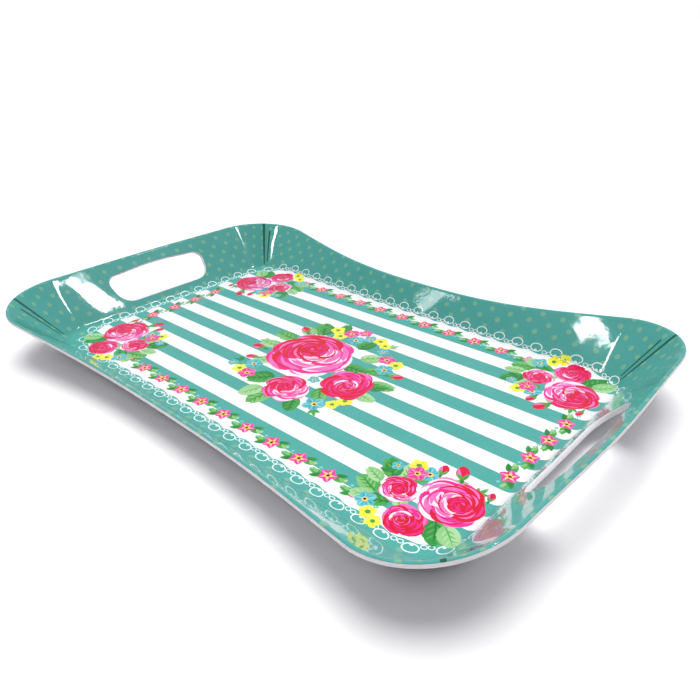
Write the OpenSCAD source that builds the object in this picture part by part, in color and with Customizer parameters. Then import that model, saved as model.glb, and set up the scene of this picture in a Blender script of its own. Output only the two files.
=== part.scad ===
// Serving tray: one moulded melamine shell with a printed sheet and a clear
// glaze over its inside, and a hand hole in each raised end.
// Origin: centre of the foot ring on the table plane, +X along the tray, +Z up.

/* [Floor] */
// Length of the floor between the feet of the two end walls
floor_l = 349; // [290:1:430]
// Width of the floor between the feet of the two side walls
floor_w = 203; // [165:1:250]
// Corner radius of the floor outline
floor_r = 17.5; // [12:0.5:30]

/* [Rim] */
// Rim height over the floor in the middle of each end
end_h = 36.5; // [28:0.1:46]
// Rim height over the floor at the four corners
corner_h = 36.8; // [28:0.1:46]
// Rim height over the floor in the middle of each long side
side_h = 20.4; // [14:0.1:26]
// How far the rim stands out from the floor at the ends of each end wall
end_out = 32.1; // [26:0.1:42]
// Extra outward bow of the rim in the middle of each end
end_bow = 2.9; // [0:0.1:6]
// How far the rim stands out from the floor in the middle of each long side
side_out = 18.6; // [14:0.1:26]
// Outward spread of the side rim for each millimetre that it rises
side_spread = 1.4; // [0.8:0.05:1.6]
// Distance from the middle at which the dip in a long side has died out
dip_reach = 237; // [200:1:290]
// Shape of the dip: higher values give a flatter middle
dip_shape = 1.26; // [1:0.01:1.8]

/* [Wall section] */
// Inside radius where the floor turns up into the wall
fillet_r = 10; // [6:0.5:16]
// Radius over which the top of the wall rolls outwards
lip_r = 7; // [5:0.5:12]
// Angle by which the top of the wall rolls outwards
lip_turn = 22; // [8:1:30]
// Thickness of the white shell
shell_t = 2.6; // [2:0.1:3.4]
// Thickness of the printed sheet
sheet_t = 0.15; // [0.1:0.05:0.4]
// Thickness of the clear glaze
glaze_t = 0.25; // [0.2:0.05:0.6]

/* [Foot ring] */
// Height of the foot ring under the shell
foot_h = 1.5; // [1:0.1:4]
// Width of the foot ring's flat face
foot_w = 4; // [2.5:0.1:8]
// Distance from the floor outline in to the foot ring
foot_in = 7; // [6:0.5:12]

/* [Hand holes] */
// Length of the upper, longer edge of a hand hole
hole_long = 93; // [80:1:104]
// Length of the lower, shorter edge of a hand hole
hole_short = 83; // [72:1:96]
// Distance up the wall from the floor outline to the lower edge of a hand hole
hole_from = 10.6; // [9:0.1:13]
// Width of a hand hole up the wall
hole_wide = 26.8; // [22:0.1:29]
// Bow of a hand hole's upper edge
hole_bow = 2; // [0.5:0.1:3]
// Corner radius at the upper edge of a hand hole
hole_r_top = 7.5; // [3:0.5:9]
// Corner radius at the lower edge of a hand hole
hole_r_low = 13.5; // [6:0.5:15]

/* [Hidden] */

half_l = floor_l / 2;
half_w = floor_w / 2;
straight_l = half_l - floor_r;
straight_w = half_w - floor_r;
floor_z = foot_h + shell_t + sheet_t + glaze_t;

steps_end = 7;     // stations on half an end
steps_turn = 9;    // stations round a corner
steps_side = 14;   // stations on half a long side
steps_fillet = 5;
steps_lip = 2;

function wave(t) = 0.5 + 0.5 * cos(180 * min(1, t));

// Rim height and overhang along a long side (x) and along an end (y)
function side_up(x) = corner_h - (corner_h - side_h) * wave(pow(x / dip_reach, dip_shape));
function side_over(x) = side_out + side_spread * (side_up(x) - side_h);
function end_up(y) = corner_h + (end_h - corner_h) * wave(y / half_w);
function end_over(y) = end_out + end_bow * wave(y / half_w);

// Cubic from value v0 with slope m0 at t = 0 to value v1 with slope m1 at t = 1
function blend(t, v0, m0, v1, m1) =
    v0 * (1 + 2 * t) * pow(1 - t, 2) + m0 * t * pow(1 - t, 2)
    + v1 * t * t * (3 - 2 * t) + m1 * t * t * (t - 1);

// Round a corner both run on from the long side into the end without a kink.
// t runs from 0 at the long side to 1 at the end.
turn_side = (floor_r + side_over(straight_l)) * PI / 2;
turn_end = (floor_r + end_over(straight_w)) * PI / 2;
function corner_up(t) =
    blend(t, side_up(straight_l), turn_side * (side_up(straight_l) - side_up(straight_l - 1)),
          end_up(straight_w), turn_end * (end_up(straight_w - 1) - end_up(straight_w)));
function corner_over(t) =
    blend(t, side_over(straight_l), turn_side * (side_over(straight_l) - side_over(straight_l - 1)),
          end_over(straight_w), turn_end * (end_over(straight_w - 1) - end_over(straight_w)));

// Stations of one quarter, from the middle of an end to the middle of a long
// side: position, outward direction, rim overhang and rim height.
quarter = [
    for (i = [0 : steps_end])
        let (y = straight_w * i / steps_end)
        [half_l, y, 1, 0, end_over(y), end_up(y)],
    for (i = [1 : steps_turn - 1])
        let (a = 90 * i / steps_turn, t = 1 - i / steps_turn)
        [straight_l + floor_r * cos(a), straight_w + floor_r * sin(a), cos(a), sin(a),
         corner_over(t), corner_up(t)],
    for (i = [0 : steps_side])
        let (x = straight_l * (1 - i / steps_side))
        [x, half_w, 0, 1, side_over(x), side_up(x)]
];
last_q = len(quarter) - 1;
function flip(s, fx, fy) = [s[0] * fx, s[1] * fy, s[2] * fx, s[3] * fy, s[4], s[5]];
stations = [
    for (i = [0 : last_q]) flip(quarter[i], 1, 1),
    for (i = [last_q - 1 : -1 : 0]) flip(quarter[i], -1, 1),
    for (i = [1 : last_q]) flip(quarter[i], -1, -1),
    for (i = [last_q - 1 : -1 : 1]) flip(quarter[i], 1, -1)
];
count = len(stations);

// Wall section in [outward, up], measured from the floor edge. depth is the
// distance below the visible inside face.
lip_t = lip_r * tan(lip_turn / 2);
function lip_foot(out, up, a) = [out - lip_t * cos(a - lip_turn), up - lip_t * sin(a - lip_turn)];
function lean(out, up, a) = let (q = lip_foot(out, up, a)) atan2(q[1], q[0]);
function wall_angle(out, up) = lean(out, up, lean(out, up, lean(out, up, atan2(up, out))));
function section(out, up, depth) =
    let (a = wall_angle(out, up),
         q = lip_foot(out, up, a),
         t = fillet_r * tan(a / 2),
         c = [q[0] - lip_t * cos(a) + lip_r * sin(a), q[1] - lip_t * sin(a) - lip_r * cos(a)])
    concat(
        [for (i = [0 : steps_fillet])
            let (b = a * i / steps_fillet)
            [(fillet_r + depth) * sin(b) - t, fillet_r - (fillet_r + depth) * cos(b)]],
        [for (i = [0 : steps_lip])
            let (b = a - lip_turn * i / steps_lip)
            [c[0] - (lip_r - depth) * sin(b), c[1] + (lip_r - depth) * cos(b)]]);
rings = steps_fillet + steps_lip + 2;

function face_points(depth) = [
    for (s = stations)
        let (line = section(s[4], s[5], depth))
        for (p = line) [s[0] + s[2] * p[0], s[1] + s[3] * p[0], floor_z + p[1]]
];

// A layer of the tray wall between two depths below the inside face
module layer(top, bottom) {
    shift = count * rings;
    function at(i, j) = (i % count) * rings + j;
    polyhedron(
        points = concat(face_points(top), face_points(bottom)),
        faces = concat(
            [[for (i = [count - 1 : -1 : 0]) at(i, 0)]],
            [[for (i = [0 : count - 1]) at(i, 0) + shift]],
            [for (i = [0 : count - 1]) for (j = [0 : rings - 2]) each [
                [at(i, j), at(i + 1, j), at(i + 1, j + 1)],
                [at(i, j), at(i + 1, j + 1), at(i, j + 1)],
                [shift + at(i, j), shift + at(i + 1, j + 1), shift + at(i + 1, j)],
                [shift + at(i, j), shift + at(i, j + 1), shift + at(i + 1, j + 1)]
            ]],
            [for (i = [0 : count - 1]) each [
                [at(i, rings - 1), at(i + 1, rings - 1), shift + at(i + 1, rings - 1)],
                [at(i, rings - 1), shift + at(i + 1, rings - 1), shift + at(i, rings - 1)]
            ]]
        ),
        convexity = 6);
}

// Corner of an outline rounded to radius r, as arc points. Where an edge is too
// short for the full radius, the fillet takes just under half of that edge.
edge_share = 0.48;
function unit(v) = v / norm(v);
function round_corner(before, at, after, r) =
    let (u = unit(before - at), v = unit(after - at),
         half = acos(max(-1, min(1, u * v))) / 2,
         room = edge_share * min(norm(before - at), norm(after - at)),
         reach = min(r / tan(half), room),
         centre = at + unit(u + v) * reach / cos(half),
         p = at + u * reach - centre,
         q = at + v * reach - centre,
         span = 180 - 2 * half,
         sign = (p[0] * q[1] - p[1] * q[0]) > 0 ? 1 : -1,
         n = max(3, ceil(span / 12)))
    [for (i = [0 : n]) let (a = sign * span * i / n)
        centre + [p[0] * cos(a) - p[1] * sin(a), p[0] * sin(a) + p[1] * cos(a)]];

// Outline of a hand hole on the slope of the wall, measured up the wall from
// the floor outline: a shorter lower edge and a longer bowed upper edge
bow_r = 200;
hole_top = hole_from + hole_wide;
hole_corners = [
    [hole_from, -hole_short / 2, hole_r_low],
    [hole_top - hole_bow, -hole_long / 2, hole_r_top],
    [hole_top + hole_bow, 0, bow_r],
    [hole_top - hole_bow, hole_long / 2, hole_r_top],
    [hole_from, hole_short / 2, hole_r_low]
];
function xy(p) = [p[0], p[1]];
hole_outline = [
    for (i = [0 : 4])
        each round_corner(xy(hole_corners[(i + 4) % 5]), xy(hole_corners[i]),
                          xy(hole_corners[(i + 1) % 5]), hole_corners[i][2])
];

// Both holes are cut square through the slope of the end walls
cut_reach = 20;
module hand_holes() {
    slope = wall_angle(end_over(0), end_up(0));
    for (side = [0, 1])
        mirror([side, 0, 0])
            translate([half_l, 0, floor_z])
                rotate([0, -slope, 0])
                    translate([0, 0, -cut_reach])
                        linear_extrude(height = 2 * cut_reach)
                            polygon(hole_outline);
}

// Rectangle with round corners, given its half sizes
module plate_outline(hx, hy, r) {
    square([2 * hx, 2 * (hy - r)], center = true);
    square([2 * (hx - r), 2 * hy], center = true);
    for (x = [-1, 1], y = [-1, 1])
        translate([x * (hx - r), y * (hy - r)]) circle(r = r, $fn = 64);
}

module foot_ring() {
    hx = half_l - foot_in;
    hy = half_w - foot_in;
    linear_extrude(height = foot_h + shell_t / 2)
        difference() {
            plate_outline(hx, hy, floor_r);
            plate_outline(hx - foot_w, hy - foot_w, floor_r - foot_w);
        }
}

module tray_body() {
    color([0.93, 0.92, 0.93])
        difference() {
            union() {
                layer(glaze_t + sheet_t, glaze_t + sheet_t + shell_t);
                foot_ring();
            }
            hand_holes();
        }
}

module printed_sheet() {
    color([0.36, 0.70, 0.67])
        difference() {
            layer(glaze_t, glaze_t + sheet_t);
            hand_holes();
        }
}

module glaze_coat() {
    color([0.85, 0.95, 0.95, 0.35])
        difference() {
            layer(0, glaze_t);
            hand_holes();
        }
}

tray_body();
printed_sheet();
glaze_coat();
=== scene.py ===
import math
import random
import bpy
import numpy as np
from mathutils import Matrix, Vector
from mathutils.geometry import delaunay_2d_cdt


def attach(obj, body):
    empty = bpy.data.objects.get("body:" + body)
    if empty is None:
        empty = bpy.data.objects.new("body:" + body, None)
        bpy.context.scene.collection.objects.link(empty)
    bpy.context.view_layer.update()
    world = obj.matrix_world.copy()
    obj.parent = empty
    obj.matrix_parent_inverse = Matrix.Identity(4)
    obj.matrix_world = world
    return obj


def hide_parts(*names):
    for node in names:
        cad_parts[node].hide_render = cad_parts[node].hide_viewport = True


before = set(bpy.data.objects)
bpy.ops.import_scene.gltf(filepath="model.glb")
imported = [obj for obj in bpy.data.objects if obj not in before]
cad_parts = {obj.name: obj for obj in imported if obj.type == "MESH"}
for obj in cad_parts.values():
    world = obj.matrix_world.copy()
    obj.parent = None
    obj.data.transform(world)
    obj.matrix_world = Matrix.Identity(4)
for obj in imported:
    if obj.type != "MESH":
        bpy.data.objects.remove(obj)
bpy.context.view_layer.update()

mm = 0.001
chance = random.Random(41)


# form of the tray, in millimetres

tray = {
    "floorLong": 349.0, "floorWide": 203.0, "floorRound": 17.5,
    "endRise": 36.5, "cornerRise": 36.8, "sideRise": 20.4,
    "endLean": 32.1, "endBow": 2.9,          # how far the end rims stand out
    "sideLean": 18.6, "sideSpread": 1.4,     # and the long sides
    "dipReach": 237.0, "dipShape": 1.26,     # the dip in the long sides
    "footRound": 10.0, "lipRound": 7.0, "lipTurn": math.radians(22),
    "wall": 3.0, "standing": 1.5,
    "noseBack": 1.45,                        # the rim's half round begins this far before its end
}
halfLong = tray["floorLong"] / 2
halfWide = tray["floorWide"] / 2
straightLong = halfLong - tray["floorRound"]
straightWide = halfWide - tray["floorRound"]
floorUp = tray["wall"] + tray["standing"]
lipReach = tray["lipRound"] * math.tan(tray["lipTurn"] / 2)


def wave(t):
    return 0.5 + 0.5 * np.cos(np.pi * np.minimum(1.0, t))


def sideUp(x):
    fall = tray["cornerRise"] - tray["sideRise"]
    return tray["cornerRise"] - fall * wave((x / tray["dipReach"]) ** tray["dipShape"])


def sideOut(x):
    return tray["sideLean"] + tray["sideSpread"] * (sideUp(x) - tray["sideRise"])


def endUp(y):
    return tray["cornerRise"] + (tray["endRise"] - tray["cornerRise"]) * wave(y / halfWide)


def endOut(y):
    return tray["endLean"] + tray["endBow"] * wave(y / halfWide)


def joinUp(t, sideLine, endLine):
    # smooth run from the long side (t = 0) round the corner into the end (t = 1)
    start, stop = sideLine(straightLong), endLine(straightWide)
    startTurn = (tray["floorRound"] + sideOut(straightLong)) * math.pi / 2
    stopTurn = (tray["floorRound"] + endOut(straightWide)) * math.pi / 2
    startSlope = startTurn * (start - sideLine(straightLong - 1))
    stopSlope = stopTurn * (endLine(straightWide - 1) - stop)
    rest = 1 - t
    return (start * (1 + 2 * t) * rest ** 2 + startSlope * t * rest ** 2
            + stop * t * t * (3 - 2 * t) + stopSlope * t * t * (t - 1))


def findStation(x, y):
    # outward direction, distance past the floor outline, and the rim's rise and lean there
    signX = np.where(x < 0, -1.0, 1.0)
    signY = np.where(y < 0, -1.0, 1.0)
    px, py = np.abs(x), np.abs(y)
    cx, cy = px - straightLong, py - straightWide
    corner = (cx > 0) & (cy > 0)
    atEnd = ~corner & (px - halfLong > py - halfWide)
    reach = np.maximum(np.hypot(cx, cy), 1e-6)
    nx = np.where(corner, cx / reach, np.where(atEnd, 1.0, 0.0))
    ny = np.where(corner, cy / reach, np.where(atEnd, 0.0, 1.0))
    past = np.where(corner, reach - tray["floorRound"],
                    np.where(atEnd, px - halfLong, py - halfWide))
    t = np.where(corner, 1 - np.arctan2(cy, cx) / (math.pi / 2), 0.0)
    up = np.where(corner, joinUp(t, sideUp, endUp), np.where(atEnd, endUp(py), sideUp(px)))
    out = np.where(corner, joinUp(t, sideOut, endOut), np.where(atEnd, endOut(py), sideOut(px)))
    return nx * signX, ny * signY, past, up, out


def wallForm(up, out):
    lean = np.arctan2(up, out)
    for again in range(4):
        footOut = out - lipReach * np.cos(lean - tray["lipTurn"])
        footTall = up - lipReach * np.sin(lean - tray["lipTurn"])
        if again < 3:
            lean = np.arctan2(footTall, footOut)
    start = tray["footRound"] * np.tan(lean / 2)          # the fillet begins this far inside
    straight = np.hypot(footOut, footTall) - lipReach - start
    lipOut = footOut - lipReach * np.cos(lean) + tray["lipRound"] * np.sin(lean)
    lipTall = footTall - lipReach * np.sin(lean) - tray["lipRound"] * np.cos(lean)
    return lean, start, straight, lipOut, lipTall


def onTray(x, y, depth=0.0):
    # a point of the flat pattern laid over the floor and up the walls
    x, y = np.asarray(x, float), np.asarray(y, float)
    nx, ny, past, up, out = findStation(x, y)
    lean, start, straight, lipOut, lipTall = wallForm(up, out)
    foot, lip = tray["footRound"], tray["lipRound"]
    run = past + start
    bend = foot * lean
    lipStart = bend + straight
    slope = np.clip(run, 0, None) / foot
    slope = np.where(run > bend, lean, slope)
    slope = np.where(run > lipStart, lean - (run - lipStart) / lip, slope)
    along = np.clip(run - bend, 0, straight)
    onLip = run > lipStart
    noseStart = lipStart + lip * tray["lipTurn"] - tray["noseBack"]
    nose, noseHalf = run > noseStart, tray["wall"] / 2
    noseLean = lean - (noseStart - lipStart) / lip
    slope = np.where(nose, noseLean - (run - noseStart) / noseHalf, slope)
    d = (foot + depth) * np.sin(slope) - start + along * np.cos(lean)
    z = foot - (foot + depth) * np.cos(slope) + along * np.sin(lean)
    d = np.where(onLip, lipOut - (lip - depth) * np.sin(slope), np.where(run <= 0, past, d))
    z = np.where(onLip, lipTall + (lip - depth) * np.cos(slope), z)
    noseOut = lipOut - (lip - noseHalf) * np.sin(noseLean)
    noseTall = lipTall + (lip - noseHalf) * np.cos(noseLean)
    d = np.where(nose, noseOut - (noseHalf - depth) * np.sin(slope), d)
    z = np.where(nose, noseTall + (noseHalf - depth) * np.cos(slope), z)
    point = np.stack([x + nx * (d - past), y + ny * (d - past), floorUp + z], -1)
    normal = np.stack([-np.sin(slope) * nx, -np.sin(slope) * ny, np.cos(slope)], -1)
    return point, normal


def rimPast(x, y, back=0.0):
    # how far past the floor outline the pattern runs at the rim
    up, out = findStation(x, y)[3:]
    lean, start, straight = wallForm(up, out)[:3]
    run = tray["footRound"] * lean + straight + tray["lipRound"] * tray["lipTurn"]
    return run - start - back


# outlines of the printed sheet and of the two hand holes

edge = {
    "wrap": 1.9,            # the print runs this far over the rim's round nose
    "noseRows": 8,
    "holeRound": 0.7,
    "perEnd": 44, "perTurn": 20, "perSide": 52,
    "bendRows": 8, "wallRows": 5,
    "noseRuns": [0.0, 0.5, 1.0, 1.45],       # extra rows of the print over the nose
    "settle": 5,            # a step outward that settles which wall a foot belongs to
}
handHole = {        # measured up the slope of the end wall
    "from": 10.6, "wide": 26.8, "bow": 2.0, "long": 93.0, "short": 83.0,
    "roundLow": 13.5, "roundTop": 7.5, "roundBow": 200.0,
}


def walkRound():
    # stations round the floor outline, each as its foot and outward direction
    feet = []
    for i in range(edge["perEnd"]):
        feet.append((halfLong, straightWide * (2 * i / edge["perEnd"] - 1), 1, 0))
    for i in range(edge["perTurn"]):
        a = math.pi / 2 * i / edge["perTurn"]
        feet.append((straightLong + tray["floorRound"] * math.cos(a),
                     straightWide + tray["floorRound"] * math.sin(a), math.cos(a), math.sin(a)))
    for i in range(edge["perSide"]):
        feet.append((straightLong * (1 - 2 * i / edge["perSide"]), halfWide, 0, 1))
    for i in range(edge["perTurn"]):
        a = math.pi / 2 * (1 + i / edge["perTurn"])
        feet.append((-straightLong + tray["floorRound"] * math.cos(a),
                     straightWide + tray["floorRound"] * math.sin(a), math.cos(a), math.sin(a)))
    turned = [(-x, -y, -nx, -ny) for x, y, nx, ny in feet]
    return np.array(feet + turned)


stations = walkRound()


def rimLoop(back):
    x = stations[:, 0] + stations[:, 2] * edge["settle"]
    y = stations[:, 1] + stations[:, 3] * edge["settle"]
    past = rimPast(x, y, back)
    return stations[:, 0:2] + stations[:, 2:4] * past[:, None]


def roundedCorner(before, at, after, radius):
    u = np.array(before) - at
    v = np.array(after) - at
    u, v = u / np.linalg.norm(u), v / np.linalg.norm(v)
    half = math.acos(float(np.clip(u @ v, -1, 1))) / 2
    centre = at + (u + v) / np.linalg.norm(u + v) * radius / math.sin(half)
    first = at + u * radius / math.tan(half) - centre
    last = at + v * radius / math.tan(half) - centre
    side = 1 if first[0] * last[1] - first[1] * last[0] > 0 else -1
    span = math.pi - 2 * half
    count = max(6, int(span / math.radians(7)))
    points = []
    for i in range(count + 1):
        a = side * span * i / count
        points.append(centre + np.array([first[0] * math.cos(a) - first[1] * math.sin(a),
                                         first[0] * math.sin(a) + first[1] * math.cos(a)]))
    return points


def holeLoop(grow, side):
    # the fillet takes up a little less sheet than the square corner it rounds
    lean = float(wallForm(endUp(0.0), endOut(0.0))[0])
    saved = tray["footRound"] * (2 * math.tan(lean / 2) - lean)
    low = halfLong + handHole["from"] - saved
    top = low + handHole["wide"]
    corners = [
        (low, -handHole["short"] / 2, handHole["roundLow"]),
        (top - handHole["bow"], -handHole["long"] / 2, handHole["roundTop"]),
        (top + handHole["bow"], 0, handHole["roundBow"]),
        (top - handHole["bow"], handHole["long"] / 2, handHole["roundTop"]),
        (low, handHole["short"] / 2, handHole["roundLow"]),
    ]
    turns = []
    for i, corner in enumerate(corners):
        before, after = corners[i - 1], corners[(i + 1) % 5]
        turns += roundedCorner(np.array(before[:2]), np.array(corner[:2]), np.array(after[:2]), corner[2])
    loop = []
    for i, point in enumerate(turns):          # no stretch longer than about 3 mm
        gap = turns[(i + 1) % len(turns)] - point
        parts = max(1, int(np.linalg.norm(gap) / 3))
        loop += [point + gap * k / parts for k in range(parts)]
    loop = np.array(loop)
    ahead = np.roll(loop, -1, 0) - np.roll(loop, 1, 0)
    ahead /= np.linalg.norm(ahead, axis=1)[:, None]
    loop = loop + grow * np.stack([ahead[:, 1], -ahead[:, 0]], -1)
    return loop * side


def wallGrid(noseRuns):
    # rows of points up the walls, so that the mesh follows the curves
    x = stations[:, 0] + stations[:, 2] * edge["settle"]
    y = stations[:, 1] + stations[:, 3] * edge["settle"]
    up, out = findStation(x, y)[3:]
    lean, start, straight = wallForm(up, out)[:3]
    bend = tray["footRound"] * lean
    lipStart = bend + straight
    bendRows, wallRows = edge["bendRows"], edge["wallRows"]
    runs = [bend * k / bendRows for k in range(bendRows + 1)]
    runs += [bend + straight * k / wallRows for k in range(1, wallRows + 1)]
    lipRun = tray["lipRound"] * tray["lipTurn"] - tray["noseBack"]
    runs += [lipStart + lipRun * 0.5]
    runs += [lipStart + lipRun + more for more in noseRuns]
    rows = []
    for run in runs:
        rows.append(stations[:, 0:2] + stations[:, 2:4] * (run - start)[:, None])
    return np.concatenate(rows)


# meshes

def newObject(name, mesh, material):
    piece = bpy.data.objects.new(name, mesh)
    bpy.context.scene.collection.objects.link(piece)
    mesh.materials.append(material)
    for face in mesh.polygons:
        face.use_smooth = True
    return piece


def fitPattern(outer, holes, extra):
    # triangles of a flat sheet with holes; also tells where each given point went
    points = [Vector(p) for loop in [outer] + holes for p in loop] + [Vector(p) for p in extra]
    faces, at = [], 0
    for loop in [outer] + holes:
        faces.append(list(range(at, at + len(loop))))
        at += len(loop)
    spots, _, tris, fromPoint, _, fromFace = delaunay_2d_cdt(points, [], faces, 1, 1e-4, True)
    place = {}
    for i, given in enumerate(fromPoint):
        for k in given:
            place[k] = i
    kept = [t for t, owner in zip(tris, fromFace) if list(owner) == [0]]
    used = sorted({k for t in kept for k in t})
    renumber = {old: new for new, old in enumerate(used)}
    kept = [[renumber[k] for k in t] for t in kept]
    loops, at = [], 0
    for loop in [outer] + holes:
        loops.append([renumber[place[at + k]] for k in range(len(loop))])
        at += len(loop)
    return np.array([tuple(spots[k]) for k in used]), kept, loops


def ringFaces(lower, upper):
    count = len(lower)
    return [(lower[i], lower[(i + 1) % count], upper[(i + 1) % count], upper[i]) for i in range(count)]


shellForm = {"skin": 0.1,         # the shell lies this far under the print
             "noseSlack": 0.06,   # and its nose stays under the wrapped print
             "footIn": 7.0, "footWide": 4.0, "footEase": 0.5, "footSunk": 0.4, "footTurn": 12}


def makeShell(material):
    # white moulding: inner face, outer face, a round nose at the rim and eased hole edges
    skin, wall = shellForm["skin"], tray["wall"]
    grid = wallGrid([])
    points, faces = [], []

    def addSheet(depth):
        outer = rimLoop(tray["noseBack"])
        holes = [holeLoop(edge["holeRound"], side) for side in (1, -1)]
        spots, tris, loops = fitPattern(outer, holes, grid)
        first = len(points)
        points.extend(onTray(spots[:, 0], spots[:, 1], depth)[0])
        for t in tris:
            t = [first + k for k in t]
            faces.append(t if depth < 1 else t[::-1])
        return [[first + k for k in loop] for loop in loops]

    def addRow(row):
        first = len(points)
        points.extend(row)
        return list(range(first, first + len(row)))

    inner = addSheet(skin)
    outer = addSheet(wall)
    # rim nose
    loop = rimLoop(tray["noseBack"])
    top, up = onTray(loop[:, 0], loop[:, 1], skin)
    low = onTray(loop[:, 0], loop[:, 1], wall)[0]
    side = np.stack([stations[:, 2], stations[:, 3], np.zeros(len(stations))], -1)
    slope = np.arccos(np.clip(up[:, 2], -1, 1))[:, None]
    tangent = side * np.cos(slope) + np.array([0, 0, 1]) * np.sin(slope)
    middle, half = (top + low) / 2, (wall - skin) / 2 - shellForm["noseSlack"]
    last = inner[0]
    for k in range(1, edge["noseRows"]):
        turn = math.pi * k / edge["noseRows"]
        row = middle + up * half * math.cos(turn) + tangent * half * math.sin(turn)
        now = addRow(row)
        faces.extend(ringFaces(now, last))
        last = now
    faces.extend(ringFaces(outer[0], last))
    # hand holes, eased over at the top and the bottom
    ease = edge["holeRound"]
    steps = [(ease * 0.42, skin + 0.12), (ease * 0.1, skin + 0.42), (0, 0.9),
             (0, wall - 0.9), (ease * 0.1, wall - 0.42), (ease * 0.42, wall - 0.12)]
    for number, side in ((1, 1), (2, -1)):
        last = inner[number]
        for grow, depth in steps:
            spots = holeLoop(grow, side)
            now = addRow(onTray(spots[:, 0], spots[:, 1], depth)[0])
            faces.extend(ringFaces(last, now))
            last = now
        faces.extend(ringFaces(last, outer[number]))
    # foot ring
    def ringRow(inset, z):
        hx = halfLong - shellForm["footIn"] - inset
        hy = halfWide - shellForm["footIn"] - inset
        r = tray["floorRound"] - inset
        row = []
        for quarter in range(4):
            for k in range(shellForm["footTurn"] + 1):
                a = math.pi / 2 * (quarter + k / shellForm["footTurn"])
                cx = (hx - r) * (1 if quarter in (0, 3) else -1)
                cy = (hy - r) * (1 if quarter in (0, 1) else -1)
                row.append((cx + r * math.cos(a), cy + r * math.sin(a), z))
        return addRow(row)

    ease, wide = shellForm["footEase"], shellForm["footWide"]
    topZ = tray["standing"] + shellForm["footSunk"]
    profile = [(0, topZ), (0, ease), (ease * 0.3, ease * 0.3), (ease, 0), (wide - ease, 0),
               (wide - ease * 0.3, ease * 0.3), (wide, ease), (wide, topZ)]
    rows = [ringRow(inset, z) for inset, z in profile]
    for k in range(len(rows)):
        faces.extend(ringFaces(rows[(k + 1) % len(rows)], rows[k]))
    mesh = bpy.data.meshes.new("trayShell")
    mesh.from_pydata([tuple(float(v) * mm for v in p) for p in points], [],
                     [list(map(int, f)) for f in faces])
    mesh.validate()
    return newObject("trayShell", mesh, material)


# The print is drawn flat, as a list of shapes in painter's order, and laid over the tray
# in one piece. Each shape has an ink, an outline and a direction in which it was painted.

printShapes = []
printAt = np.array([3.6, 5.2])      # the sheet sits a little off the middle of the tray


def anticlockwise(outline):
    x, y = outline[:, 0], outline[:, 1]
    area = (x * np.roll(y, -1) - np.roll(x, -1) * y).sum()
    return outline if area > 0 else outline[::-1]


def paint(ink, outline, tone=0.5, brush=None, within=None):
    outline = anticlockwise(np.asarray(outline, float))
    if brush is None:
        low, high = outline.min(0), outline.max(0)
        brush = (low[0], (low[1] + high[1]) / 2, 0.0, high[0] - low[0], (high[1] - low[1]) / 2)
    printShapes.append({"ink": ink, "outline": outline, "tone": tone, "brush": brush, "within": within})


def turned(points, angle, x=0.0, y=0.0):
    c, s = math.cos(angle), math.sin(angle)
    points = np.asarray(points, float)
    return np.stack([points[:, 0] * c - points[:, 1] * s + x, points[:, 0] * s + points[:, 1] * c + y], -1)


def oval(x, y, rx, ry, angle=0.0, count=16):
    a = np.arange(count) * 2 * math.pi / count
    return turned(np.stack([rx * np.cos(a), ry * np.sin(a)], -1), angle, x, y)


def blade(x, y, angle, long, wide, belly=1.0, blunt=0.8, teeth=0, bite=0.0, count=9):
    # a petal or leaf outline from its foot at x, y: belly moves the widest part outward
    t = np.linspace(0, 1, count + 1)
    half = wide / 2 * np.sin(math.pi * t ** belly) ** blunt
    if teeth:
        half = half * (1 + bite * np.cos(math.pi * t * count))
    up = np.stack([t * long, half], -1)
    down = np.stack([t[::-1] * long, -half[::-1]], -1)[1:-1]
    return turned(np.concatenate([up, down]), angle, x, y)


def sliver(x, y, angle, long, wide, bow=0.0, count=6):
    # a tapered brush stroke, bowed to one side
    t = np.linspace(0, 1, count + 1)
    half = wide / 2 * np.sin(math.pi * t ** 0.8) + 0.02
    mid = bow * 4 * t * (1 - t)
    up = np.stack([t * long, mid + half], -1)
    down = np.stack([t[::-1] * long, mid[::-1] - half[::-1]], -1)
    return turned(np.concatenate([up, down]), angle, x, y)


# stripes, the white band round them and the lace

stripes = {"pitch": 23.95, "start": -0.45, "sag": 2.2, "wide": 12.3, "slant": 0.0187,
           "outerLow": -88.3, "outerHigh": 88.3, "reach": 190.0}
lace = {"halfLong": 175.5, "halfWide": 98.5, "round": 33.0, "swell": 3.0, "count": 72,
        "loopLong": 4.4, "loopWide": 3.2, "thread": 0.75, "ringLong": 1.8, "ringWide": 1.45,
        "ringThread": 0.52, "reach": 2.9, "knot": 0.9, "ringAside": 1.7, "ripple": 0.55}


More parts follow.
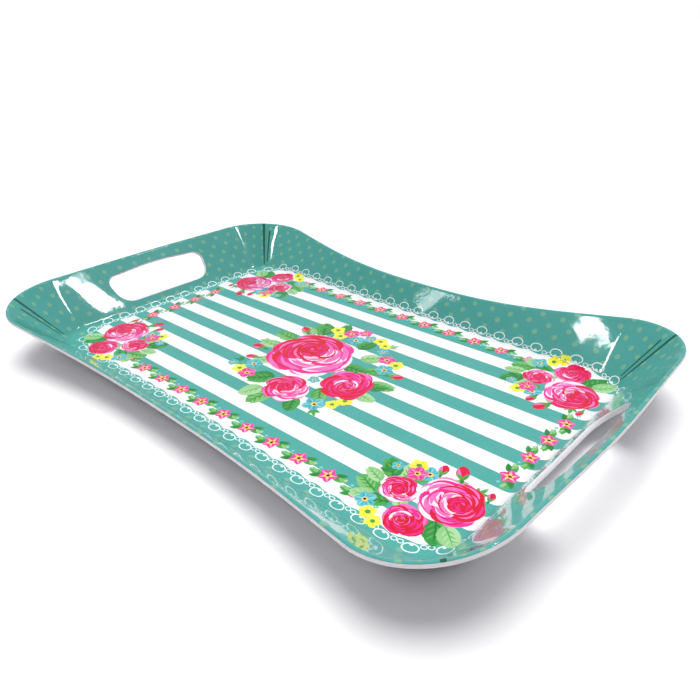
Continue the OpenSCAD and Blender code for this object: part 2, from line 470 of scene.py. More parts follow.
def lacePath(inset, count):
    # even steps round the lace line, which swells a little towards the corners
    hx, hy, r = lace["halfLong"] - inset, lace["halfWide"] - inset, lace["round"] - inset
    fine = []
    for sx, sy, first in ((1, 1, 0), (-1, 1, 1), (-1, -1, 2), (1, -1, 3)):
        for k in range(41):
            a = math.pi / 2 * (first + k / 40)
            fine.append((sx * (hx - r) + r * math.cos(a), sy * (hy - r) + r * math.sin(a)))
    fine = np.array(fine + fine[:1])
    long = []
    for a, b in zip(fine[:-1], fine[1:]):
        parts = max(1, int(np.linalg.norm(b - a) / 2))
        long += [a + (b - a) * k / parts for k in range(parts)]
    long = np.array(long)
    swell = lace["swell"] * (np.abs(long[:, 0]) / hx) ** 2 * (np.abs(long[:, 1]) / hy)
    long[:, 1] += np.sign(long[:, 1]) * swell
    closed = np.concatenate([long, long[:1]])
    far = np.concatenate([[0], np.cumsum(np.linalg.norm(np.diff(closed, axis=0), axis=1))])
    at = np.arange(count) / count * far[-1]
    spots = np.stack([np.interp(at, far, closed[:, 0]), np.interp(at, far, closed[:, 1])], -1)
    ahead = np.stack([np.interp(at + 1, far, closed[:, 0]), np.interp(at + 1, far, closed[:, 1])], -1)
    ahead = ahead - spots
    return spots, np.arctan2(ahead[:, 1], ahead[:, 0])


def drawField():
    count = lace["count"] * 6
    spots, heading = lacePath(1.0, count)
    ripple = lace["ripple"] * np.sin(np.arange(count) / count * 2 * math.pi * lace["count"])
    field = spots + np.stack([np.sin(heading), -np.cos(heading)], -1) * ripple[:, None]
    paint("whiteBand", field, 0.5, within="field")
    slant, far = math.tan(stripes["slant"]), stripes["reach"]

    def middle(i):
        return stripes["start"] + stripes["pitch"] * i - stripes["sag"] * (1 - (i / 3) ** 2)

    half = stripes["wide"] / 2
    lows = [stripes["outerLow"]] + [middle(i) + half for i in range(-3, 4)]
    highs = [middle(i) - half for i in range(-3, 4)] + [stripes["outerHigh"]]
    for i, (low, high) in enumerate(zip(lows, highs)):
        # the outermost edges run straight, the others slant with the stripes
        lowSlant = 0 if i == 0 else slant
        highSlant = 0 if i == len(lows) - 1 else slant
        strip = [(-far, low - far * lowSlant), (far, low + far * lowSlant),
                 (far, high + far * highSlant), (-far, high - far * highSlant)]
        paint("tealStripe", strip, 0.5, within="field")


def drawLace():
    spots, heading = lacePath(0.0, lace["count"])
    for (x, y), a in zip(spots, heading):
        ox, oy = math.sin(a), -math.cos(a)
        cx, cy = x + ox * lace["reach"], y + oy * lace["reach"]
        paint("laceThread", oval(cx, cy, lace["loopLong"], lace["loopWide"], a, 22), 0.6)
        paint("laceEye", oval(cx, cy, lace["loopLong"] - lace["thread"],
                              lace["loopWide"] - lace["thread"], a, 18), 0.5)
        paint("laceThread", oval(x + ox * lace["knot"], y + oy * lace["knot"], 1.0, 0.8, a, 10), 0.6)
    spots, heading = lacePath(-lace["knot"], lace["count"] * 2)
    for (x, y), a in zip(spots[1::2], heading[1::2]):
        for step in (-1, 1):
            cx = x + math.cos(a) * step * lace["ringAside"]
            cy = y + math.sin(a) * step * lace["ringAside"]
            paint("laceThread", oval(cx, cy, lace["ringLong"], lace["ringWide"], a, 12), 0.6)
            paint("laceEye", oval(cx, cy, lace["ringLong"] - lace["ringThread"],
                                  lace["ringWide"] - lace["ringThread"], a, 9), 0.5)


# dots on the walls

dots = {"across": 14.1, "rows": 7.45, "firstRow": -182.1, "size": 3.9, "clear": 6.2,
        "reach": 232}


def outsideLace(x, y):
    hx, r = lace["halfLong"], lace["round"]
    hy = lace["halfWide"] + lace["swell"] * (x / hx) ** 2
    dx, dy = abs(x) - (hx - r), abs(y) - (hy - r)
    return math.hypot(max(dx, 0), max(dy, 0)) + min(max(dx, dy), 0) - r


def drawDots():
    for row in range(-8, 60):
        x = dots["firstRow"] + dots["rows"] * row
        if abs(x) > dots["reach"]:
            continue
        for k in range(-12, 13):
            y = (k + 0.5 * (row % 2)) * dots["across"]
            if outsideLace(x, y) > dots["clear"]:
                paint("polkaDot", oval(x, y, dots["size"] / 2, dots["size"] / 2, 0, 12), 0.5)


# laps of the sheet at the four corners

lap = {"wide": 3.6, "thin": 2.2, "inner": 5.0, "far": 66.0,
       "fork": math.radians(7), "forkFrom": 13.0, "forkWide": 0.55, "forkFar": 40.0}


def lapStrip(turn, near, far, wide):
    # a tapered line out of the floor's corner, in the first quarter of the tray
    a = math.radians(45) + turn
    c, s = math.cos(a), math.sin(a)
    marks = [(near, lap["thin"] * 0.5), ((near + far) / 2, wide * 0.8), (far, wide)]
    strip = []
    for side, run in ((1, marks), (-1, marks[::-1])):
        for d, w in run:
            out = tray["floorRound"] + d
            strip.append((straightLong + out * c - side * s * w / 2,
                          straightWide + out * s + side * c * w / 2))
    return np.array(strip)


def drawLaps():
    main = lapStrip(0.0, lap["inner"], lap["far"], lap["wide"])
    fork = lapStrip(lap["fork"], lap["inner"] + lap["forkFrom"] * 0.2, lap["forkFar"],
                    lap["wide"] * lap["forkWide"])
    for sx in (1, -1):
        for sy in (1, -1):
            for strip in (main, fork):
                paint("lapLine", strip * (sx, sy) - printAt, 0.5)


# leaves, buds and small blossoms

leafTones = {"dark": 0.12, "middle": 0.42, "light": 0.82}
growth = {"leafLong": 1.15, "leafWide": 1.42, "blossom": 1.2, "bud": 1.25}     # over the plans below


def drawLeaf(x, y, degrees, long, wide, look="middle"):
    a = math.radians(degrees)
    long, wide = long * growth["leafLong"], wide * growth["leafWide"]
    tone = leafTones[look] + chance.uniform(-0.06, 0.06)
    back = (x, y, a, long, wide / 2)
    c, s = math.cos(a), math.sin(a)
    paint("leafPaint", blade(x, y, a, long, wide, 0.85, 0.75, 1, 0.035, 12), tone, back)
    half = blade(x, y, a + 0.03, long * 0.97, wide * 0.5, 0.85, 0.8, 0, 0, 7)
    half = half + np.array([-s, c]) * wide * 0.22
    paint("leafPaint", half, tone + 0.26, back)
    for k in range(3):          # side veins
        t = 0.2 + 0.2 * k
        for side in (1, -1):
            fx, fy = x + c * long * t, y + s * long * t
            paint("leafPaint", sliver(fx, fy, a + side * 0.75, wide * 0.42, wide * 0.085, 0, 3),
                  tone + (0.34 if side < 0 else -0.22), back)
    paint("leafPaint", sliver(x, y, a, long * 0.9, wide * 0.08, wide * 0.04, 5), tone - 0.3, back)


def drawSprig(x, y, degrees, long, look="light"):
    for turn in (-38, 0, 38):
        drawBladeOnly(x, y, degrees + turn, long * (1 if turn == 0 else 0.75), long * 0.34, look)


def drawBladeOnly(x, y, degrees, long, wide, look):
    a = math.radians(degrees)
    tone = leafTones[look] + chance.uniform(-0.08, 0.08)
    back = (x, y, a, long, wide / 2)
    paint("leafPaint", blade(x, y, a, long, wide, 0.8, 0.8, 0, 0, 6), tone, back)
    paint("leafPaint", sliver(x, y, a, long * 0.85, wide * 0.16, 0, 3), tone - 0.25, back)


def drawBlossom(ink, x, y, size, degrees=0.0, petals=5):
    size = size * growth["blossom"]
    for k in range(petals):
        a = math.radians(degrees) + 2 * math.pi * (k + chance.uniform(-0.06, 0.06)) / petals
        long = size / 2 * chance.uniform(0.94, 1.06)
        wide = size * 0.42
        back = (x, y, a, long, wide / 2)
        tone = 0.5 + chance.uniform(-0.1, 0.1)
        paint(ink, blade(x, y, a, long, wide, 1.35, 0.62, 0, 0, 7), tone, back)
        fx, fy = x + math.cos(a) * long * 0.2, y + math.sin(a) * long * 0.2
        paint(ink, sliver(fx, fy, a + 0.16, long * 0.68, wide * 0.2, 0.1, 3), tone - 0.3, back)
        paint(ink, sliver(fx, fy, a - 0.2, long * 0.66, wide * 0.17, -0.1, 3), tone + 0.32, back)
    heart = "goldHeart" if ink != "yellowPetal" else "greenHeart"
    paint(heart, oval(x, y, size * 0.15, size * 0.14, 0, 9), 0.5)
    if ink != "yellowPetal":
        paint("darkEye", oval(x + size * 0.02, y, size * 0.075, size * 0.07, 0, 8), 0.5)


def drawStar(x, y, size, degrees):
    # the garland's flower: five pointed petals, a warm heart and a dark middle
    for k in range(5):
        a = math.radians(degrees + 72 * k + chance.uniform(-5, 5))
        long, wide = size / 2 * chance.uniform(0.95, 1.08), size * 0.4
        back = (x, y, a, long, wide / 2)
        paint("pinkPetal", blade(x, y, a, long, wide, 1.0, 0.85, 0, 0, 7), 0.42, back)
        fx, fy = x + math.cos(a) * long * 0.3, y + math.sin(a) * long * 0.3
        paint("pinkPetal", sliver(fx, fy, a + 0.1, long * 0.6, wide * 0.3, 0.05, 3), 0.85, back)
        paint("goldHeart", blade(x, y, a, long * 0.55, wide * 0.42, 1.0, 0.8, 0, 0, 4), 0.5, back)
    paint("darkEye", oval(x + size * 0.02, y, size * 0.1, size * 0.075, math.radians(degrees), 8), 0.5)


def drawBud(x, y, degrees, long):
    a = math.radians(degrees)
    long = long * growth["bud"]
    c, s = math.cos(a), math.sin(a)
    drawBladeOnly(x - c * long * 0.75, y - s * long * 0.75, degrees + 4, long * 0.95, long * 0.2, "dark")
    back = (x - c * long * 0.4, y - s * long * 0.4, a, long, long * 0.3)
    paint("rosePaint", blade(back[0], back[1], a, long, long * 0.62, 0.95, 0.6, 0, 0, 8), 0.1, back)
    paint("rosePaint", sliver(back[0] - s * long * 0.1, back[1] + c * long * 0.1, a + 0.12, long * 0.85,
                              long * 0.2, 0.2, 5), 0.68, back)
    paint("rosePaint", sliver(back[0] + s * long * 0.12, back[1] - c * long * 0.12, a - 0.1, long * 0.7,
                              long * 0.13, -0.2, 4), 0.36, back)
    for turn in (-32, 30):
        drawBladeOnly(back[0], back[1], degrees + turn, long * 0.55, long * 0.2, "middle")


# roses: rings of petals from the outside in, each petal with a shaded edge, a body and strokes

petal = {"foot": 0.42, "curl": 0.27, "core": 0.55,
         "shadeTurn": 0.17, "shadeSpread": 1.03, "shadeReach": 1.09, "shadeCurl": 0.22}
roseTones = {"red": 0.03, "hot": 0.35, "pink": 0.64, "pale": 0.97}


def ringBand(cx, cy, rx, ry, middle, spread, inner, outer, curl, ripple, count):
    u = np.linspace(-1, 1, count)
    a = middle + u * spread
    rim = outer * (1 - curl * np.abs(u) ** 2.6 + 0.035 * np.sin(u * 4 + ripple))
    top = np.stack([cx + rx * rim * np.cos(a), cy + ry * rim * np.sin(a)], -1)
    b = middle - u[::3] * spread * 0.86
    low = np.stack([cx + rx * inner * np.cos(b), cy + ry * inner * np.sin(b)], -1)
    return np.concatenate([top, low])


def crescent(cx, cy, rx, ry, middle, spread, radius, thick, drift=0.0, count=8):
    u = np.linspace(-1, 1, count)
    a = middle + u * spread
    t = thick / 2 * np.cos(u * math.pi / 2) ** 0.8 + 0.004
    far, near = radius + drift * u + t, radius + drift * u - t
    top = np.stack([cx + rx * far * np.cos(a), cy + ry * far * np.sin(a)], -1)
    low = np.stack([cx + rx * near * np.cos(a), cy + ry * near * np.sin(a)], -1)[::-1]
    return np.concatenate([top, low])


def pinkMood(share, lit):
    # body, stroke and shaded edge of a petal, by how far in it lies and how it faces the light
    if share > 0.7:
        return ("red", "hot", "red") if chance.random() < 0.75 else ("hot", "red", "red")
    if share > 0.45:
        return ("red", "pink", "red") if lit < 0.55 else ("pale", "pink", "red")
    if lit > 0.6:
        return ("pale", "pink", "hot") if share > 0.1 else ("pink", "pale", "red")
    if lit > 0.3:
        return ("pink", "hot", "red") if chance.random() < 0.5 else ("hot", "pink", "red")
    return ("pink", "red", "red") if chance.random() < 0.5 else ("hot", "red", "red")


def redMood(share, lit):
    if share > 0.7:
        return ("red", "pink", "red")
    if share > 0.4:
        return ("pink", "pale", "red") if lit > 0.6 else ("red", "hot", "red")
    if lit > 0.6:
        return ("pink", "hot", "red") if share > 0.1 else ("hot", "pink", "red")
    return ("red", "hot", "red")


def drawRose(x, y, wide, tall, degrees, eye, light, mood):
    rx, ry = wide / 2, tall / 2
    big = wide > 28
    rings = [(1.0, 6), (0.84, 5), (0.66, 5), (0.48, 4), (0.33, 4), (0.2, 3)] if big else \
            [(1.0, 5), (0.78, 5), (0.56, 4), (0.37, 3), (0.21, 3)]
    tilt, lightAt = math.radians(degrees), math.radians(light)
    fine = 10 if big else 7
    for n, (reach, petals) in enumerate(rings):
        share = n / (len(rings) - 1)
        cx, cy = x + eye[0] * share ** 1.2, y + eye[1] * share ** 1.2
        order = list(range(petals))
        chance.shuffle(order)
        if n > 1:
            core = reach * petal["core"]
            paint("rosePaint", oval(cx, cy, rx * core, ry * core, 0, 14), roseTones["red"])
        for k in order:
            middle = tilt + 2 * math.pi * (k + 0.5 * (n % 2) + chance.uniform(-0.13, 0.13)) / petals
            spread = math.pi / petals * chance.uniform(1.12, 1.42)
            outer = reach * chance.uniform(0.94, 1.03)
            inner = reach * petal["foot"]
            lit = 0.5 + 0.5 * math.cos(middle - lightAt)
            body, accent, shade = (roseTones[t] for t in mood(share, lit))
            ripple = chance.uniform(0, 6)
            direction = math.atan2(ry * math.sin(middle), rx * math.cos(middle))
            deep = (outer - inner) * math.hypot(rx * math.cos(middle), ry * math.sin(middle))
            back = (cx + rx * inner * math.cos(middle), cy + ry * inner * math.sin(middle), direction,
                    deep, spread * outer * (rx + ry) / 2)
            if n:
                paint("rosePaint", ringBand(cx, cy, rx, ry, middle - petal["shadeTurn"],
                                            spread * petal["shadeSpread"], inner,
                                            outer * petal["shadeReach"], petal["shadeCurl"],
                                            ripple, fine), shade, back)
            paint("rosePaint", ringBand(cx, cy, rx, ry, middle, spread, inner, outer,
                                        petal["curl"], ripple, fine), body, back)
            # a stroke along the rim and one or two across the body
            paint("rosePaint", crescent(cx, cy, rx, ry, middle + chance.uniform(-0.1, 0.1), spread * 0.74,
                                        outer * 0.88, outer * (0.09 + 0.11 * lit), outer * 0.05, fine - 1),
                  accent, back)
            for m in range(2 if big else 1):
                tone = chance.choice([accent, shade, accent])
                paint("rosePaint", crescent(cx, cy, rx, ry, middle + spread * chance.uniform(-0.4, 0.4),
                                            spread * chance.uniform(0.3, 0.55),
                                            outer * (0.76 - 0.14 * m + chance.uniform(-0.03, 0.03)),
                                            outer * chance.uniform(0.06, 0.12),
                                            outer * chance.uniform(-0.09, 0.09), 6), tone, back)
    ex, ey = x + eye[0], y + eye[1]
    back = (ex, ey, tilt, wide * 0.1, wide * 0.05)
    for turn, tone in ((0.4, 0.36), (2.5, 0.1), (4.4, 0.62)):
        paint("rosePaint", crescent(ex, ey, rx, ry, tilt + turn, 0.9, 0.085, 0.06, 0.02, 6), tone, back)


# bouquets: every row gives a place in millimetres from the middle of the print

cornerBouquet = {
    "leaves": [      # x, y, direction, long, wide, look
        (-150, 47, 62, 15, 8, "light"), (-156, 50, 72, 16, 9, "dark"), (-163, 56, 100, 11, 5, "middle"),
        (-118, 82, -20, 14, 8, "middle"), (-121, 86, 15, 13, 7, "light"), (-128, 84, 20, 12, 7, "dark"),
        (-152, 78, 120, 17, 9, "dark"), (-158, 80, 140, 14, 8, "light"), (-124, 67, -75, 13, 8, "light"),
        (-118, 68, -48, 15, 8, "dark"), (-128, 64, -95, 12, 7, "middle"), (-115, 74, -20, 12, 6, "light"),
        (-134, 84, -60, 10, 6, "light"),
    ],
    "sprigs": [(-113, 66, -40, 8, "dark"), (-158, 52, -105, 8, "middle"), (-131, 99, 40, 7, "light")],
    "blossoms": [    # ink, x, y, size, turn
        ("bluePetal", -131.1, 54.0, 10.5, 10), ("yellowPetal", -122.0, 51.5, 9.0, 40),
        ("pinkPetal", -125.5, 57.5, 10.0, 0), ("bluePetal", -117.5, 90.0, 10.0, 25),
        ("yellowPetal", -124.5, 96.0, 8.5, 10), ("yellowPetal", -130.5, 99.5, 7.5, 50),
        ("bluePetal", -113.5, 58.5, 6.5, 0),
    ],
    "buds": [(-143.8, 43.0, -60, 9.5), (-134.5, 47.0, -75, 7.0), (-164.5, 49.5, -80, 5.5)],
    "roses": [       # x, y, wide, tall, turn, eye, light, mood
        (-141.4, 89.1, 24, 23, 10, (1.5, 1.0), -60, redMood),
        (-125.4, 73.1, 22, 21, 40, (-0.5, 0.5), 120, pinkMood),
        (-151.0, 64.5, 37, 35, 15, (-5.6, -1.2), 30, pinkMood),
    ],
}
middleBouquet = {
    "leaves": [
        (-27, 26, 128, 19, 11, "dark"), (-20, 38, 105, 13, 7, "dark"), (-38, 8, 178, 18, 9, "middle"),
        (-38, -6, 190, 17, 8, "light"), (8, 26, 82, 16, 8, "dark"), (19, 16, 40, 15, 9, "light"),
        (17, 2, 5, 17, 9, "dark"), (46, -4, 8, 16, 8, "middle"), (46, -19, -5, 15, 7, "light"),
        (25, -29, -50, 15, 8, "middle"), (21, -48, -60, 14, 8, "dark"), (3, -52, -95, 17, 10, "middle"),
        (-5, -52, -110, 15, 9, "light"), (-9, -38, -135, 17, 11, "dark"), (-26, -22, -140, 15, 8, "light"),
        (33, 6, 30, 15, 8, "middle"), (-33, 20, 150, 16, 8, "light"), (48, -10, 35, 12, 6, "dark"),
        (12, -30, -90, 14, 9, "dark"),
    ],
    "sprigs": [(-36, 33, 140, 9, "middle"), (50, 10, 40, 9, "light"), (-52, -6, 200, 8, "light"),
               (40, -50, -40, 8, "middle"), (24, 42, 60, 8, "light"), (-44, -36, 215, 8, "dark")],
    "blossoms": [
        ("yellowPetal", -25, 39.6, 10, 0), ("yellowPetal", -16.7, 33.4, 10, 30),
        ("pinkPetal", -12.5, 41.7, 11, 10), ("pinkPetal", -4.5, 48.5, 9.5, 50),
        ("bluePetal", -3.0, 35.5, 11, 0), ("bluePetal", 4.2, 44, 9, 20),
        ("yellowPetal", 12.6, 45.5, 9.5, 10), ("yellowPetal", 19.8, 42, 8, 40),
        ("bluePetal", 24.2, 34.6, 8, 5), ("pinkPetal", 34.2, 26.7, 11, 30),
        ("yellowPetal", 44, 24.5, 10, 15), ("bluePetal", 41.7, 15.0, 11.5, 0),
        ("yellowPetal", -36.7, -46.2, 9.5, 20), ("pinkPetal", -27.5, -47.0, 11, 5),
        ("bluePetal", -33.3, -36.2, 11, 35), ("bluePetal", -46.5, -44, 7, 0),
        ("yellowPetal", 48.5, -30.5, 9.5, 0), ("yellowPetal", 45, -38.5, 8.5, 40),
        ("bluePetal", 36.2, -45.5, 12.5, 15), ("bluePetal", 14.5, -24.5, 7.5, 15),
    ],
    "buds": [(53, 12.1, 25, 8.5), (-43.5, 24.0, 150, 9), (-50.5, -16.2, 185, 9), (-42.5, -29.5, 205, 7.5)],
    "roses": [
        (35.8, -15.4, 36, 38, 20, (1.0, -3.5), 110, redMood),
        (8.3, -43.7, 33, 31, 0, (-1.0, 2.0), -5, pinkMood),
        (-12.5, -1.0, 66, 62, 5, (-5.0, 8.8), -15, pinkMood),
    ],
}
bouquetGroup = {"turn": 0.0109, "drop": -1.3}


def drawBouquet(plan, sx=1, sy=1):
    first = len(printShapes)
    for x, y, degrees, long, wide, look in plan["leaves"]:
        drawLeaf(x, y, degrees, long, wide, look)
    for x, y, degrees, long, look in plan["sprigs"]:
        drawSprig(x, y, degrees, long, look)
    for ink, x, y, size, degrees in plan["blossoms"]:
        drawBlossom(ink, x, y, size, degrees)
    for x, y, degrees, long in plan["buds"]:
        drawBud(x, y, degrees, long)
    for x, y, wide, tall, degrees, eye, light, mood in plan["roses"]:
        drawRose(x, y, wide, tall, degrees, eye, light, mood)
    if plan is middleBouquet:
        return
    for shape in printShapes[first:]:
        # mirrored into its corner, then turned and moved with the whole group of four
        outline = shape["outline"] * (sx, sy)
        x, y, a, long, half = shape["brush"]
        x, y = x * sx, y * sy
        a = math.atan2(math.sin(a) * sy, math.cos(a) * sx)
        shape["outline"] = anticlockwise(turned(outline, bouquetGroup["turn"], 0, bouquetGroup["drop"]))
        foot = turned([(x, y)], bouquetGroup["turn"], 0, bouquetGroup["drop"])[0]
        shape["brush"] = (foot[0], foot[1], a + bouquetGroup["turn"], long, half)


# garland between the white band and the stripes

garland = {"row": 89.05, "column": 163.2, "step": 22.44, "rowCount": 11, "columnStep": 20.8,
           "columnCount": 4, "flower": 11.0,
           "frontShift": 1.7, "backShift": -2.8, "leftShift": -4.8, "rightShift": 2.7}


def drawGarlandBit(x, y, ahead):
    # one flower with its two leaves and the small sprigs; ahead is the way the garland runs
    c, s = math.cos(ahead), math.sin(ahead)
    degrees = math.degrees(ahead)

    def at(u, v):
        return x + u * c - v * s, y + u * s + v * c

    for u, v, turn, long, wide, look in (
            (2.6, 0.6, 10, 9.5, 4.6, "middle"), (2.8, 1.6, 36, 8.0, 3.6, "dark"),
            (11.2, 1.6, 172, 5.5, 2.4, "light"), (-2.6, -0.8, 192, 9.0, 4.4, "middle"),
            (-2.4, -1.8, 216, 7.6, 3.4, "dark"),
            (-10.6, -0.6, 350, 5.0, 2.2, "light")):
        lx, ly = at(u, v)
        drawBladeOnly(lx, ly, degrees + turn, long, wide, look)
    for u, v, ink, size in ((12.2, -1.6, "bluePetal", 3.6), (10.2, 2.9, "leafPaint", 2.2),
                            (-7.2, 2.4, "bluePetal", 2.8)):
        px, py = at(u, v)
        if ink == "leafPaint":
            paint(ink, oval(px, py, size / 2, size / 2, 0, 7), 0.95)
        else:
            for k in range(4):
                a = ahead + math.pi / 2 * k
                paint(ink, blade(px, py, a, size / 2, size * 0.4, 1.2, 0.7, 0, 0, 4), 0.5,
                      (px, py, a, size / 2, size * 0.2))
            paint("yellowPetal", oval(px, py, size * 0.13, size * 0.13, 0, 6), 0.6)
    drawStar(x, y, garland["flower"], degrees + 90)


def drawGarland():
    for i in range(garland["rowCount"]):
        x = (i - 5) * garland["step"]
        drawGarlandBit(x + garland["frontShift"], -garland["row"], 0.0)
        drawGarlandBit(x + garland["backShift"], garland["row"], math.pi)
    for j in range(garland["columnCount"]):
        y = (j - 1.5) * garland["columnStep"]
        drawGarlandBit(-garland["column"], y + garland["leftShift"], -math.pi / 2)
        drawGarlandBit(garland["column"], y + garland["rightShift"], math.pi / 2)


# the drawn shapes become one sheet of triangles, shared out among the inks

inkPieces = {       # ink of a shape -> piece that carries it
    "ground": "tealGround", "tealStripe": "tealStripes", "laceEye": "tealGround",
    "whiteBand": "whiteBand", "laceThread": "laceThread", "polkaDot": "polkaDots",
    "lapLine": "lapLines", "leafPaint": "leaves", "rosePaint": "roses",
    "yellowPetal": "yellowBlossoms", "bluePetal": "blueBlossoms", "pinkPetal": "pinkBlossoms",
    "goldHeart": "goldHearts", "greenHeart": "greenHearts", "darkEye": "darkEyes",
}


def layPrint(materials):
    rim = rimLoop(tray["noseBack"] - edge["wrap"])
    holes = [holeLoop(edge["holeRound"], side) for side in (1, -1)]
    points, faces = [], []
    for outline in [rim] + holes + [shape["outline"] + printAt for shape in printShapes]:
        faces.append(list(range(len(points), len(points) + len(outline))))
        points.extend(Vector(p) for p in outline)
    grid = wallGrid(edge["noseRuns"])
    rows = []       # each row up the wall stays a line of the mesh, so no triangle cuts a curve short
    for k in range(len(grid)):
        nextOne = k + 1 if (k + 1) % len(stations) else k + 1 - len(stations)
        rows.append((len(points) + k, len(points) + nextOne))
    points.extend(Vector(p) for p in grid)
    spots, _, tris, _, _, fromFace = delaunay_2d_cdt(points, rows, faces, 1, 1e-4, True)
    spots = np.array([tuple(s) for s in spots])
    firstShape = 1 + len(holes)
    field = firstShape + next(i for i, s in enumerate(printShapes) if s["ink"] == "whiteBand")
    shares = {}
    for tri, owners in zip(tris, fromFace):
        if 0 not in owners or 1 in owners or 2 in owners:
            continue
        inField = field in owners
        top = -1
        for k in owners:
            if k > top and k >= firstShape and (inField or printShapes[k - firstShape]["within"] is None):
                top = k
        ink = "ground" if top < 0 else printShapes[top - firstShape]["ink"]
        shares.setdefault(inkPieces[ink], []).append((tri, top - firstShape if top >= 0 else -1))
    brushes = np.array([s["brush"] for s in printShapes] + [(0, 0, 0, 100, 100)])
    tones = np.array([s["tone"] for s in printShapes] + [0.5])
    pieces = {}
    for name, share in shares.items():
        tri = np.array([t for t, shape in share])
        owner = np.array([shape for t, shape in share])
        used, index = np.unique(tri, return_inverse=True)
        index = index.reshape(tri.shape)
        place, normal = onTray(spots[used, 0], spots[used, 1])
        mesh = bpy.data.meshes.new(name)
        mesh.from_pydata((place * mm).tolist(), [], index.tolist())
        # how far along and across its brush mark each corner lies, and the shape's tone
        corner = spots[tri.reshape(-1)] - printAt
        mark = brushes[np.repeat(owner, 3)]
        dx, dy = corner[:, 0] - mark[:, 0], corner[:, 1] - mark[:, 1]
        c, s = np.cos(mark[:, 2]), np.sin(mark[:, 2])
        stroke = np.stack([(dx * c + dy * s) / np.maximum(mark[:, 3], 0.1),
                           (dy * c - dx * s) / np.maximum(mark[:, 4], 0.1),
                           tones[np.repeat(owner, 3)]], -1)
        layer = mesh.attributes.new("stroke", "FLOAT_VECTOR", "CORNER")
        layer.data.foreach_set("vector", stroke.astype(np.float32).reshape(-1))
        pieces[name] = newObject(name, mesh, materials[name])
        mesh.normals_split_custom_set_from_vertices(normal.tolist())
        print("print piece", name, len(share), "faces")
    return pieces


# materials

def swatch(code):
    # a colour as mixed on screen, turned into the light it gives
    values = [int(code[i:i + 2], 16) / 255 for i in (0, 2, 4)]
    return tuple(v / 12.92 if v < 0.04045 else ((v + 0.055) / 1.055) ** 2.4 for v in values) + (1.0,)


class Mixer:
    # short way to add and join shader nodes
    def __init__(self, name):
        self.material = bpy.data.materials.new(name)
        self.material.use_nodes = True
        self.tree = self.material.node_tree
        self.tree.nodes.clear()

    def add(self, kind, links=None, **settings):
        made = self.tree.nodes.new(kind)
        for key, value in settings.items():
            setattr(made, key, value)
        for socket, value in (links or {}).items():
            if hasattr(value, "is_linked") or isinstance(value, bpy.types.NodeSocket):
                self.tree.links.new(value, made.inputs[socket])
            else:
                made.inputs[socket].default_value = value
        return made

    def ramp(self, value, stops):
        made = self.add("ShaderNodeValToRGB", {0: value})
        line = made.color_ramp
        while len(line.elements) < len(stops):
            line.elements.new(0.5)
        for element, (at, code) in zip(line.elements, stops):
            element.position = at
            element.color = swatch(code)
        return made.outputs[0]

    def sum(self, a, b, kind="ADD"):
        return self.add("ShaderNodeMath", {0: a, 1: b}, operation=kind).outputs[0]


glaze = {"roughness": 0.38, "roughSpread": 0.06, "underGloss": 0.2,
         "coat": 1.0, "coatRoughness": 0.035, "coatIor": 1.42,
         "rippleSize": 26.0, "ripple": 0.05, "rippleDeep": 0.01,
         "peelSize": 420.0, "peel": 0.012, "peelDeep": 0.001}


def glazed(mixer, colour):
    # clear melamine over ink: slow waves and a faint grain in the gloss
    where = mixer.add("ShaderNodeTexCoord").outputs["Object"]
    slow = mixer.add("ShaderNodeTexNoise", {"Vector": where, "Scale": glaze["rippleSize"], "Detail": 1.0})
    fine = mixer.add("ShaderNodeTexNoise", {"Vector": where, "Scale": glaze["peelSize"], "Detail": 2.0})
    waves = mixer.add("ShaderNodeBump", {"Strength": glaze["ripple"], "Distance": glaze["rippleDeep"],
                                         "Height": slow.outputs[0]})
    grain = mixer.add("ShaderNodeBump", {"Strength": glaze["peel"], "Distance": glaze["peelDeep"],
                                         "Height": fine.outputs[0], "Normal": waves.outputs[0]})
    rough = mixer.add("ShaderNodeMapRange", {"Value": fine.outputs[0],
                                             "To Min": glaze["roughness"] - glaze["roughSpread"],
                                             "To Max": glaze["roughness"] + glaze["roughSpread"]})
    shader = mixer.add("ShaderNodeBsdfPrincipled", {
        "Base Color": colour, "Roughness": rough.outputs[0], "Normal": grain.outputs[0],
        "Coat Weight": glaze["coat"], "Coat Roughness": glaze["coatRoughness"],
        "Coat IOR": glaze["coatIor"], "Coat Normal": grain.outputs[0],
        "Specular IOR Level": glaze["underGloss"]})
    mixer.add("ShaderNodeOutputMaterial", {"Surface": shader.outputs[0]})
    return mixer.material


def inkSpeck(mixer, scale=900.0):
    # fine unevenness of printed ink
    where = mixer.add("ShaderNodeTexCoord").outputs["Object"]
    return mixer.add("ShaderNodeTexNoise", {"Vector": where, "Scale": scale, "Detail": 3.0}).outputs[0]


def flatInk(name, stops, scale=900.0, spread=0.6):
    # an even printed colour: its ramp runs over the speck of the ink
    mixer = Mixer(name)
    speck = inkSpeck(mixer, scale)
    wide = mixer.add("ShaderNodeTexNoise", {"Vector": mixer.add("ShaderNodeTexCoord").outputs["Object"],
                                            "Scale": 38.0, "Detail": 2.0}).outputs[0]
    value = mixer.sum(mixer.sum(speck, spread, "MULTIPLY"), mixer.sum(wide, 1 - spread, "MULTIPLY"))
    return glazed(mixer, mixer.ramp(value, stops))


